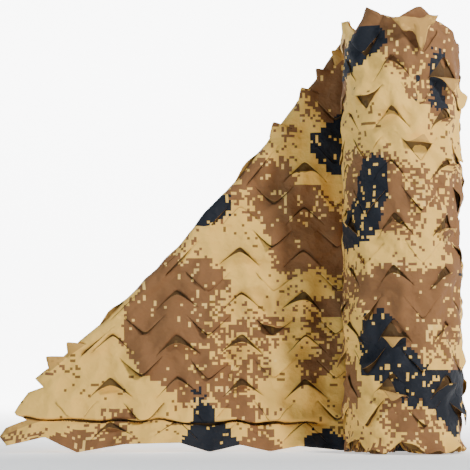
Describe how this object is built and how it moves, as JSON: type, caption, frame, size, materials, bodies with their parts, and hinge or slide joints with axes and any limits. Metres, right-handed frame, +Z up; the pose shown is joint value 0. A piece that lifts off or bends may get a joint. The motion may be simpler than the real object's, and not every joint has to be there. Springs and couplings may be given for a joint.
{
  "type": "camouflage netting",
  "caption": "Die-cut camouflage netting rolled up and standing on end, its loose end pulled out to one side and sloping to the ground, folded over behind itself.",
  "frame": {"origin": "middle of the roll's foot, on the ground", "axes": "+Z up along the roll's axis; the loose end runs out towards -X; the front, which the picture shows, faces -Y"},
  "size_m": [0.7646, 0.2202, 0.717],
  "materials": {
    "printed_cloth": "thin coated cloth, dull, printed with tan, brown and charcoal squares, crisp at its cut edges"
  },
  "bodies": {
    "root": {"roll": "printed_cloth", "loose_end": "printed_cloth"}
  },
  "joints": []
}
